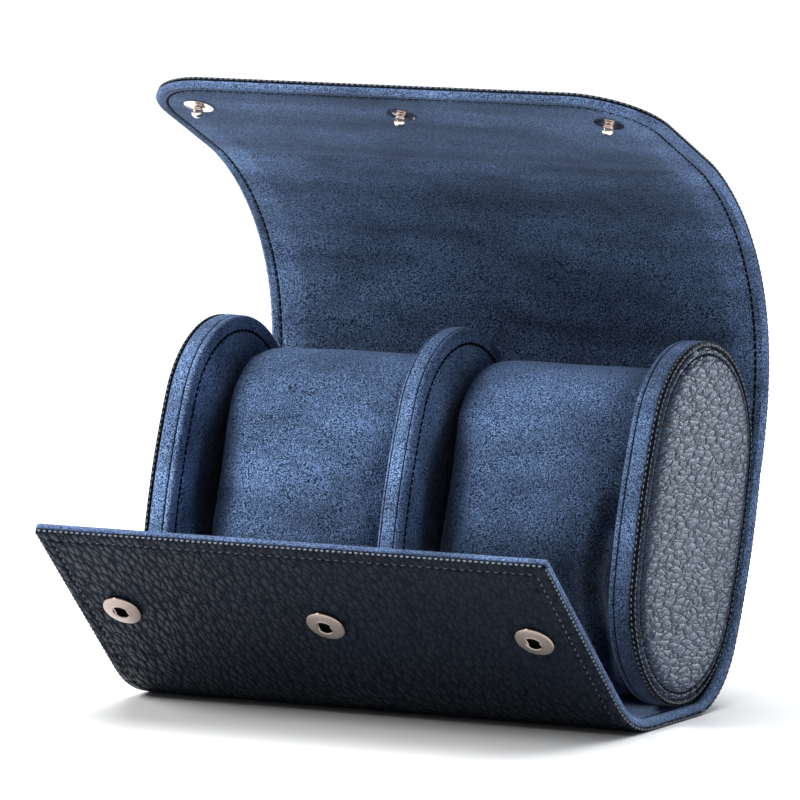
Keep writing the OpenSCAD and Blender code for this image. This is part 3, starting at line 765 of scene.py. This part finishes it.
def wrap_stitches(name, e, pitch, length, width, height, level, up, dip, mat, slant=0.0, phase=0.0):
    """A row of stitches along the wrap at inset e; up -1: on the suede, 1: on the leather."""
    bv, bf = bead(length, width, height, dip)
    V, F, S = [], [], []
    for p, t in along(outline(e), pitch, 0.6):
        p = p + t * pitch * phase
        a = math.atan2(t[1], t[0]) + slant
        t = np.array([math.cos(a), math.sin(a)])
        nrm = np.array([-t[1], t[0]])
        q = p + np.outer(bv[:, 0], t) + np.outer(bv[:, 1], nrm)
        base = len(V) * len(bv)
        V.append(np.column_stack([q, level + up * bv[:, 2]]))
        F += [tuple(base + i for i in f) for f in bf]
        S += [p[1]] * len(bf)
    return split(name, np.concatenate(V), F, np.array(S), mat, 0)


wrap_stitches("stitch_outer", 4.25, 2.6, 1.5, 0.62, 0.5, 2.98, 1, 0.3, THREAD, 0.08)
# black beads in the holes between the navy stitches: painted shade in the stitch holes
wrap_stitches("stitch_hole_shade", 4.25, 2.6, 1.5, 1.0, 0.3, 2.9, 1, 0.05, THREAD_BLACK, 0.0, 0.5)
wrap_stitches("stitch_inner", 3.5, 2.3, 2.1, 1.05, 0.72, 0.5, -1, 0.25, THREAD_BLACK, -0.12)
# the fine stitches along the rolled edge, light grey as painted glint
wrap_stitches("stitch_edge", 0.42, 1.75, 1.05, 0.42, 0.6, 2.86, 1, 0.12, THREAD_GLINT, 0.0)

# short loose fibres that stand out along the rolled edge
rng = np.random.default_rng(11)
pts = outline(0.0)
seg = np.hypot(*np.diff(pts, axis=0).T)
cum = np.concatenate([[0], np.cumsum(seg)])
V, F, S = [], [], []
for k in range(5600):
    m = rng.uniform(0, cum[-1])
    i = min(int(np.searchsorted(cum, m)), len(pts) - 1)
    a, b = pts[i - 1], pts[i]
    d = (b - a) / max(np.hypot(*(b - a)), 1e-9)
    q = a + d * (m - cum[i - 1])
    out = np.array([d[1], -d[0]])
    if out @ (q - np.array([0, S_END / 2])) < 0:
        out = -out
    t = rng.uniform(0.45, 1.85)
    ang, rise, ln = rng.normal(0, 0.7), rng.normal(0, 0.5), rng.uniform(0.35, 0.8)
    base = q - out * 0.25
    tip = q + out * (ln * math.cos(ang) - 0.15) + d * ln * math.sin(ang)
    n = len(V)
    w = d * 0.07
    V += [(*(base - w), t), (*(base + w), t), (*tip, t + 0.5 * rise)]
    F.append((n, n + 1, n + 2))
    S.append(q[1])
split("edge_fibre", V, F, np.array(S), SUEDE_EDGE, 0)


# ------------------------------------------------------------------ end panels and divider
def sweep(name, prof, mat, cap=True, mirror=False, look=None):
    """A skin swept round the oval; prof is (inset, x). cap closes the middle at the last inset."""
    st = OVAL
    n = len(st)
    V = []
    for d, x in prof:
        y, z = oval_pt(st, d)
        V.append(np.stack([np.full(n, -x if mirror else x), y, z], -1))
    F = []
    for k in range(len(prof) - 1):
        for i in range(n):
            F.append((k * n + i, k * n + (i + 1) % n, (k + 1) * n + (i + 1) % n, (k + 1) * n + i))
    if cap:
        F.append(tuple((len(prof) - 1) * n + i for i in range(n)))
    ob = new_object(name, np.concatenate(V), F, mat)
    c = Vector((0, 0, PCZ * 0.001))
    face_out(ob, look or (lambda q: (q - c)))
    return ob


def seam_faces(ob, a, b):
    """The narrow rows of the rim between |x| a and b are the dark bottom of a seam."""
    ob.data.materials.append(SUEDE_SEAM)
    ob.data.polygons.foreach_set("material_index", [
        int(all(a < abs(ob.data.vertices[v].co.x) * 1000 < b and oval_depth(ob.data.vertices[v].co) < 0.7 for v in p.vertices)) for p in ob.data.polygons])


def oval_depth(p):
    """Inset of a point (metres) from the oval's outline."""
    y, z = p[1] * 1000, p[2] * 1000 - PCZ
    u, w = y * CT - z * ST, y * ST + z * CT
    a, b = abs(u), abs(w)
    if math.atan2(b, a + SK) <= TA:
        return OS - math.hypot(a + SK, b)
    return OR - math.hypot(a, b - OH)


def ring_stitches(name, d, x, up, pitch, length, width, height, dip, mat, body, slant=0.0, radial=False):
    """A ring of stitches round the oval at inset d on a face at x whose outside is up (-1 or 1) along X, or on the rim if radial."""
    fine = oval_stations(0.5)
    y, z = oval_pt(fine, d)
    pts = np.column_stack([y, z])
    pts = np.vstack([pts, pts[:1]])
    c = np.concatenate([[0], np.cumsum(np.hypot(*np.diff(pts, axis=0).T))])
    n = int(round(c[-1] / pitch))
    bv, bf = bead(length, width, height, dip)
    V, F = [], []
    for k in range(n):
        m = c[-1] * (k + 0.5) / n
        p = np.array([np.interp(m, c, pts[:, 0]), np.interp(m, c, pts[:, 1])])
        f = np.array([np.interp((m + 0.5) % c[-1], c, pts[:, 0]), np.interp((m + 0.5) % c[-1], c, pts[:, 1])])
        t = (f - p) / max(np.hypot(*(f - p)), 1e-9)
        nr = np.array([-t[1], t[0]])
        if nr @ (p - np.array([0, PCZ])) < 0:
            nr = -nr
        ca_, sa_ = math.cos(slant), math.sin(slant)
        run, side = bv[:, 0] * ca_ - bv[:, 1] * sa_, bv[:, 0] * sa_ + bv[:, 1] * ca_
        base = len(V) * len(bv)
        if radial:
            V.append(np.column_stack([x + side, p + np.outer(run, t) + np.outer(bv[:, 2], nr)]))
        else:
            V.append(np.column_stack([x + up * bv[:, 2], p + np.outer(run, t) + np.outer(side, nr)]))
        F += [tuple(base + i for i in g) for g in bf]
    ob = new_object(name, np.concatenate(V), F, mat)
    bm = bmesh.new()
    bm.from_mesh(ob.data)
    bmesh.ops.recalc_face_normals(bm, faces=bm.faces)
    bm.to_mesh(ob.data)
    bm.free()
    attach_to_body(ob, body)
    return ob


# leather face: a rolled edge with fine stitching, a crease, then the padded field inside its ring of stitches
FACE_PROF = [(1.6, 76.5), (0.7, 76.6), (0.28, 76.9), (0.1, 77.35), (0.16, 77.75), (0.5, 78.05), (0.95, 78.16), (1.35, 78.05),
             (1.65, 77.7), (1.85, 77.3), (2.05, 77.6), (2.3, 78.05), (2.7, 78.4), (3.1, 78.46), (3.45, 78.25), (3.75, 77.95),
             (4.05, 78.3), (4.5, 78.75), (5.2, 79.1), (6.4, 79.4), (8.4, 79.58), (11, 79.66), (15, 79.71), (22, 79.73), (30, 79.74)]
BINDING_ROWS = 10
SIDE_PROF = [(30, 70.02), (22, 70.0), (15, 70.0), (9, 70.02), (6.2, 70.03), (5.3, 70.12), (4.85, 70.32), (4.5, 70.62), (4.15, 70.34),
             (3.7, 70.1), (3.0, 70.0), (2.0, 70.0), (1.2, 70.05), (0.65, 70.2), (0.3, 70.5), (0.14, 70.9), (0.1, 71.75),
             (0.5, 72.0), (0.14, 72.25), (0.04, 72.8), (0.0, 73.8), (0.0, 75.0), (0.06, 75.9), (0.3, 76.5), (0.9, 76.9), (2.0, 77.0)]
for side, mir in (("right", False), ("left", True)):
    sg = -1 if mir else 1
    face = sweep(f"end_{side}_face", FACE_PROF, LEATHER_FACE_SHEEN, mirror=mir, look=lambda q, s=sg: (s, 0, 0))
    face.data.materials.append(LEATHER_DARK)
    face.data.polygons.foreach_set("material_index", [int(min(oval_depth(face.data.vertices[v].co) for v in p.vertices) < 1.75) for p in face.data.polygons])
    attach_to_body(face, "base")
    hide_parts(f"end_{side}_leather", f"end_{side}_piping")
    shell = sweep(f"end_{side}_suede", SIDE_PROF, SUEDE, cap=False, mirror=mir, look=lambda q, s=sg: (-s * 0.2, q.y, q.z - PCZ * 0.001))
    bm = bmesh.new(); bm.from_mesh(shell.data)
    ring = [v for v in bm.verts if abs(abs(v.co.x) - 0.07002) < 1e-6 and (v.co.y ** 2 + (v.co.z - PCZ * 0.001) ** 2) ** 0.5 < 0.026]
    edges = [e for e in bm.edges if e.is_boundary and all(v in ring for v in e.verts)]
    if edges:
        bmesh.ops.contextual_create(bm, geom=edges)
    for f in bm.faces:
        f.smooth = True
    bmesh.ops.recalc_face_normals(bm, faces=bm.faces)
    big = max(bm.faces, key=lambda f: f.calc_area())
    if big.normal.x * sg > 0:
        bmesh.ops.reverse_faces(bm, faces=bm.faces)
    bm.to_mesh(shell.data); bm.free()
    seam_faces(shell, 71.72, 72.28)
    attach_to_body(shell, "base")
    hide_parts(f"end_{side}_core", f"end_{side}_lining", f"end_{side}_rim")
    ring_stitches(f"end_{side}_ring_outer", 3.75, sg * 78.2, sg, 2.2, 1.7, 0.85, 0.5, 0.2, THREAD_BLACK, "base", 0.1)
    # light grey edge stitches: painted glint on a dark thread
    ring_stitches(f"end_{side}_ring_edge", 0.95, sg * 78.14, sg, 1.75, 1.1, 0.42, 0.34, 0.1, THREAD_GLINT, "base")
    ring_stitches(f"end_{side}_ring_rim", 0.14, sg * 77.35, sg, 1.75, 1.0, 0.42, 0.3, 0.1, THREAD_GLINT, "base", 0.0, True)
    ring_stitches(f"end_{side}_ring_inner", 4.5, sg * 70.32, -sg, 2.1, 1.95, 1.0, 0.6, 0.2, THREAD_BLACK, "base", 0.25)

DIV_PROF = [(30, -3.5), (15, -3.5), (6.4, -3.48), (5.3, -3.38), (4.85, -3.2), (4.5, -2.9), (4.15, -3.2), (3.6, -3.4), (2.8, -3.5),
            (2.0, -3.48), (1.2, -3.34), (0.6, -3.02), (0.25, -2.6), (0.16, -2.35), (0.46, -2.15), (0.12, -1.95), (0.02, -1.4), (0.0, -0.5),
            (0.0, 0.5), (0.02, 1.4), (0.12, 1.95), (0.46, 2.15), (0.16, 2.35), (0.25, 2.6), (0.6, 3.02), (1.2, 3.34), (2.0, 3.48),
            (2.8, 3.5), (3.6, 3.4), (4.15, 3.2), (4.5, 2.9), (4.85, 3.2), (5.3, 3.38), (6.4, 3.48), (15, 3.5), (30, 3.5)]
div = sweep("divider_cover", DIV_PROF, SUEDE)
bm = bmesh.new(); bm.from_mesh(div.data)
bmesh.ops.holes_fill(bm, edges=[e for e in bm.edges if e.is_boundary])
bmesh.ops.recalc_face_normals(bm, faces=bm.faces)
for f in bm.faces:
    f.smooth = True
bm.to_mesh(div.data); bm.free()
seam_faces(div, 1.93, 2.37)
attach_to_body(div, "base")
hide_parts("divider_core", "divider_lining", "divider_rim")
for sg in (-1, 1):
    ring_stitches(f"divider_ring_{'left' if sg < 0 else 'right'}", 4.5, sg * 3.2, sg, 2.1, 1.95, 1.0, 0.6, 0.2, THREAD_BLACK, "base", 0.25)

# ------------------------------------------------------------------ pillows
PU, PW0, PSTR, PRAD = 6.3, -25.0, 44.5, 24.6


def stadium(n_arc=30, n_side=18):
    """Outward directions and points of the pillow's profile: (u, w, nu, nw)."""
    out = []
    for i in range(n_arc):
        a = math.pi * i / n_arc
        out.append((PU, PW0 + PSTR, math.cos(a), math.sin(a)))
    for i in range(n_side):
        out.append((PU, PW0 + PSTR * (1 - i / n_side), -1, 0))
    for i in range(n_arc):
        a = math.pi + math.pi * i / n_arc
        out.append((PU, PW0, math.cos(a), math.sin(a)))
    for i in range(n_side):
        out.append((PU, PW0 + PSTR * i / n_side, 1, 0))
    return np.array(out)


def pillow(side, x0, x1):
    st = stadium()
    n = len(st)
    stations = []
    R, RL = 4.6, 2.3
    for a in np.linspace(90, 0, 7):
        stations.append((x0 + 0.1 + RL * (1 - math.cos(math.radians(90 - a))), RL * (1 - math.sin(math.radians(90 - a)))))
    for q in np.linspace(0, 1, 15)[1:-1]:
        stations.append((x0 + RL + (x1 - x0 - R - RL) * q, 0.0))
    for a in np.linspace(0, 90, 7):
        stations.append((x1 - 0.25 - R * (1 - math.sin(math.radians(a))), R * (1 - math.cos(math.radians(a)))))
    V = []
    for x, d in stations:
        r = PRAD - 0.9 - d
        u, w = st[:, 0] + r * st[:, 2], st[:, 1] + r * st[:, 3]
        w = w + 1.3 * np.clip((w - PW0) / PSTR, 0, 1)
        V.append(np.stack([np.full(n, x), u * CT + w * ST, PCZ - u * ST + w * CT], -1))
    F = []
    for k in range(len(stations) - 1):
        for i in range(n):
            F.append((k * n + i, k * n + (i + 1) % n, (k + 1) * n + (i + 1) % n, (k + 1) * n + i))
    F.append(tuple(range(n)))
    F.append(tuple((len(stations) - 1) * n + i for i in range(n)))
    ob = new_object(f"pillow_{side}_cover_soft", np.concatenate(V), F, SUEDE_PILLOW_LEFT if side == "left" else SUEDE_PILLOW_RIGHT)
    c = Vector(((x0 + x1) / 2000, 0.004, 0.05))
    face_out(ob, lambda q: (q - c))
    bpy.context.view_layer.objects.active = ob
    ob.select_set(True)
    mod = ob.modifiers.new("remesh", "REMESH")
    mod.mode = "VOXEL"; mod.voxel_size = 0.0026; mod.use_smooth_shade = True
    bpy.ops.object.modifier_apply(modifier=mod.name)
    rest = np.array([v.co for v in ob.data.vertices], float)
    mod = ob.modifiers.new("cloth", "CLOTH")
    s = mod.settings
    s.quality = 5
    s.mass = 0.3
    s.use_pressure = True
    s.uniform_pressure_force = 4.0
    s.effector_weights.gravity = 0.0
    s.tension_stiffness = 15; s.compression_stiffness = 15; s.shear_stiffness = 5; s.bending_stiffness = 0.5
    mod.point_cache.frame_start, mod.point_cache.frame_end = 1, 20
    for f in range(1, 21):
        bpy.context.scene.frame_set(f)
    bpy.ops.object.modifier_apply(modifier=mod.name)
    bpy.context.scene.frame_set(1)
    co = np.array([v.co for v in ob.data.vertices], float)
    move = co - rest
    size = np.linalg.norm(move, axis=1)
    cap = 0.0016
    move *= np.minimum(1, cap / np.maximum(size, 1e-9))[:, None]
    co = rest + move
    ob.data.vertices.foreach_set("co", co.astype(np.float32).ravel())
    ob.data.update()
    mod = ob.modifiers.new("smooth", "SMOOTH")
    mod.factor = 0.5; mod.iterations = 2
    bpy.ops.object.modifier_apply(modifier=mod.name)
    mod = ob.modifiers.new("sub", "SUBSURF")
    mod.levels = mod.render_levels = 1
    bpy.ops.object.modifier_apply(modifier=mod.name)
    co = np.array([v.co for v in ob.data.vertices], float)
    # folds near the ends where the cover is drawn in, and a shallow sag across the front
    x, y, z = co[:, 0] * 1000, co[:, 1] * 1000, co[:, 2] * 1000 - PCZ
    u, w = y * CT - z * ST, y * ST + z * CT
    nu, nw = u - PU, w - np.clip(w, PW0, PW0 + PSTR)
    ln = np.maximum(np.hypot(nu, nw), 1e-6)
    nu, nw = nu / ln, nw / ln
    seed = 3.1 if side == "left" else 7.7
    d = np.zeros(len(co))
    for end, sgn in ((x0, 1), (x1, -1)):
        q = (x - end) * sgn
        reach = np.exp(-(q / 9.0) ** 2) * np.clip(q / 2.5, 0, 1)
        strong = 1.0 if sgn < 0 else 0.55
        d -= strong * reach * (0.7 + 0.45 * np.sin(w / 6.3 + seed + 0.12 * q) + 0.3 * np.sin(w / 2.9 + 2 * seed))
    amp = 0.35
    if side == "right":
        # the cover is bunched beside the end panel: a valley and a ridge run up the front
        low = np.clip((8 - w) / 14, 0, 1) * (nu < -0.2) * np.clip((w + 52) / 12, 0, 1)
        wob = 1.6 * np.sin(w / 7.0 + 0.6)
        d -= low * (2.8 * np.exp(-((x - 60.0 - wob) / 2.5) ** 2) + 1.5 * np.exp(-((x - 52.5 - 0.8 * wob) / 2.8) ** 2) * np.clip(-w / 20, 0, 1))
        d += low * 0.6 * np.exp(-((x - 64.6 - 0.6 * wob) / 1.7) ** 2)
    else:
        low = np.clip((4 - w) / 20, 0, 1) * (nu < -0.2)
        d -= low * 0.9 * np.exp(-((x + 9.5 - 1.2 * np.sin(w / 8.0)) / 2.4) ** 2)
    d += amp * np.array([noise.noise(Vector((a / 19.0 + seed, b / 21.0, c / 21.0))) for a, b, c in zip(x, y, z)])
    d *= (ln > 8)
    co[:, 1] += d * (nu * CT + nw * ST) * 0.001
    co[:, 2] += d * (-nu * ST + nw * CT) * 0.001
    co[:, 0] = np.clip(co[:, 0], (x0 + 0.05) / 1000, (x1 - 0.05) / 1000)
    ob.data.vertices.foreach_set("co", co.astype(np.float32).ravel())
    ob.data.update()
    ob.select_set(False)
    ob.data.polygons.foreach_set("use_smooth", [True] * len(ob.data.polygons))
    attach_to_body(ob, f"pillow_{side}")
    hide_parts(f"pillow_{side}_core", f"pillow_{side}_cover", f"pillow_{side}_ends")
    return ob


pillow("left", -66.6, -4.2)
pillow("right", 6.9, 69.3)

# ------------------------------------------------------------------ snap fasteners
def lathe(name, prof, s0, mats, split_at, body, n=72):
    """Three turned pieces of the profile (r, t) at the snap positions; faces after split_at take the second material."""
    V, F, M = [], [], []
    for sx in SNAP_X:
        base = len(V)
        for r, t in prof:
            for k in range(n):
                a = 2 * math.pi * k / n
                V.append((sx + r * math.cos(a), s0 + r * math.sin(a), t))
        for i in range(len(prof) - 1):
            for k in range(n):
                F.append((base + i * n + k, base + i * n + (k + 1) % n, base + (i + 1) * n + (k + 1) % n, base + (i + 1) * n + k))
                M.append(int(i >= split_at))
        F.append(tuple(base + (len(prof) - 1) * n + k for k in range(n)))
        M.append(1 if split_at < len(prof) else 0)
    V = np.array(V)
    ob = new_object(name, wrap_pt(V[:, 0], V[:, 1], V[:, 2]), F, mats[0])
    for m in mats[1:]:
        ob.data.materials.append(m)
    ob.data.polygons.foreach_set("material_index", M)
    bm = bmesh.new()
    bm.from_mesh(ob.data)
    bmesh.ops.recalc_face_normals(bm, faces=bm.faces)
    # the widest ring band tells the outside
    mid = V[:, :2].mean(0)
    h = float(np.interp(s0, PS_, PH))
    up = Vector((0, math.sin(h), -math.cos(h)))
    top = max((f for f in bm.faces if f.material_index == 0), key=lambda f: abs(f.normal.dot(up)) * f.calc_area())
    if top.normal.dot(up) < 0:
        bmesh.ops.reverse_faces(bm, faces=bm.faces)
    bm.to_mesh(ob.data)
    bm.free()
    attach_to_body(ob, body)
    return ob


SOCKET = [(5.66, 3.2), (5.74, 3.45), (5.75, 3.85), (5.68, 4.06), (5.52, 4.2), (5.25, 4.3), (4.6, 4.45), (3.9, 4.57), (3.3, 4.64), (3.05, 4.66),
          (2.95, 4.72), (2.8, 4.79), (2.6, 4.79), (2.42, 4.7), (2.3, 4.52), (2.26, 4.36), (2.4, 4.26), (2.9, 4.2), (2.9, 3.0), (2.9, 1.5), (1.2, 1.35)]
# the inner faces of each socket's hole take the near-black metal: painted shade
sockets = lathe("snap_socket_discs", SOCKET, S_SOCKET, (NICKEL, HOLLOW_SHADE), 15, "front_plate")
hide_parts("snap_sockets")
V, F = [], []
for sx in SNAP_X:
    for side in (-1, 1):
        ring = []
        for q in np.linspace(-1, 1, 9):
            bow = 0.35 * (1 - q * q)
            ring.append([(sx + side * (2.3 - bow) + 0.22 * math.cos(a), S_SOCKET + 2.1 * q, 4.3 + 0.22 * math.sin(a))
                         for a in np.linspace(0, 2 * math.pi, 11)[:-1]])
        base = len(V)
        V += [p for r in ring for p in r]
        for i in range(8):
            for k in range(10):
                F.append((base + i * 10 + k, base + i * 10 + (k + 1) % 10, base + (i + 1) * 10 + (k + 1) % 10, base + (i + 1) * 10 + k))
        F.append(tuple(base + k for k in range(10)))
        F.append(tuple(base + 80 + k for k in range(10)))
V = np.array(V)
springs = new_object("snap_socket_wires", wrap_pt(V[:, 0], V[:, 1], V[:, 2]), F, NICKEL_BRIGHT)
bm = bmesh.new()
bm.from_mesh(springs.data)
bmesh.ops.recalc_face_normals(bm, faces=bm.faces)
bm.to_mesh(springs.data)
bm.free()
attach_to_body(springs, "front_plate")
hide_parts("socket_springs")
for n, m in (("snap_studs", NICKEL_BRIGHT), ("stud_caps", NICKEL), ("socket_washers", STEEL)):
    ob = NODES[n]
    if ob.data.materials:
        for i in range(len(ob.data.materials)):
            ob.data.materials[i] = m
    else:
        ob.data.materials.append(m)

# ------------------------------------------------------------------ stage, light and camera
mat, nt, sh = material("floor_white")
fz = node(nt, "ShaderNodeTexNoise", Scale=4.0, Detail=2.0)
fr = ramp(nt, fz.outputs["Fac"], [(0.3, grey(0.965)), (0.7, grey(0.98))])
nt.links.new(fr.outputs["Color"], sh.inputs["Base Color"])
sh.inputs["Roughness"].default_value = 0.42
sh.inputs["Specular IOR Level"].default_value = 0.35
z0 = cad_box[0].z * 1000
prof = [(-1900, z0)]
prof += [(3500 + 900 * math.sin(a), z0 + 900 * (1 - math.cos(a))) for a in np.linspace(0, math.pi / 2, 16)]
prof += [(4400, 4200)]
V, F = [], []
for k, (y, z) in enumerate(prof):
    V += [(-5200, y, z), (5200, y, z)]
    if k:
        F.append((2 * k - 2, 2 * k - 1, 2 * k + 1, 2 * k))
ca, sa = math.cos(math.radians(28)), math.sin(math.radians(28))
V = [(x * ca - y * sa, x * sa + y * ca, z) for x, y, z in V]
floor = new_object("floor", V, F, mat)
face_out(floor, lambda q: (0, -0.3, 1))

scene = bpy.context.scene
world = bpy.data.worlds.new("studio")
scene.world = world
world.use_nodes = True
wn = world.node_tree
wn.nodes.clear()
bg = wn.nodes.new("ShaderNodeBackground")
wo = wn.nodes.new("ShaderNodeOutputWorld")
bg.inputs["Color"].default_value = (0.93, 0.96, 1.0, 1)
bg.inputs["Strength"].default_value = 0.22
wn.links.new(bg.outputs[0], wo.inputs[0])


def area(name, at, aim, size, power, color=(1, 1, 1)):
    l = bpy.data.lights.new(name, "AREA")
    l.shape = "RECTANGLE"
    l.size, l.size_y = size
    l.energy = power
    l.color = color
    o = bpy.data.objects.new(name, l)
    o.location = at
    o.rotation_euler = (Vector(aim) - Vector(at)).to_track_quat("-Z", "Y").to_euler()
    scene.collection.objects.link(o)
    return o


sun = bpy.data.lights.new("overhead", "SUN")
sun.energy = 3.5
sun.angle = math.radians(50)
so = bpy.data.objects.new("overhead", sun)
so.rotation_euler = Vector((-0.06, 0.02, 1.0)).to_track_quat("Z", "Y").to_euler()
scene.collection.objects.link(so)
area("key", (-0.78, -0.72, 0.86), (-0.02, 0, 0.07), (0.5, 0.5), 14.5)
area("side", (0.46, 1.28, 0.42), (0.08, 0, 0.06), (0.9, 0.55), 8.5, (0.78, 0.89, 1.0))

cam = bpy.data.cameras.new("camera")
cam.sensor_width = 36.0
cam.lens = 376.6
cam.clip_start, cam.clip_end = 0.1, 30
co = bpy.data.objects.new("camera", cam)
co.location = (1.09266, -2.08272, 0.30600 + 0.0553)
co.rotation_euler = (math.radians(90 - 6.7), 0, math.radians(28))
scene.collection.objects.link(co)
scene.camera = co
scene.view_settings.view_transform = "Standard"
scene.view_settings.look = "None"
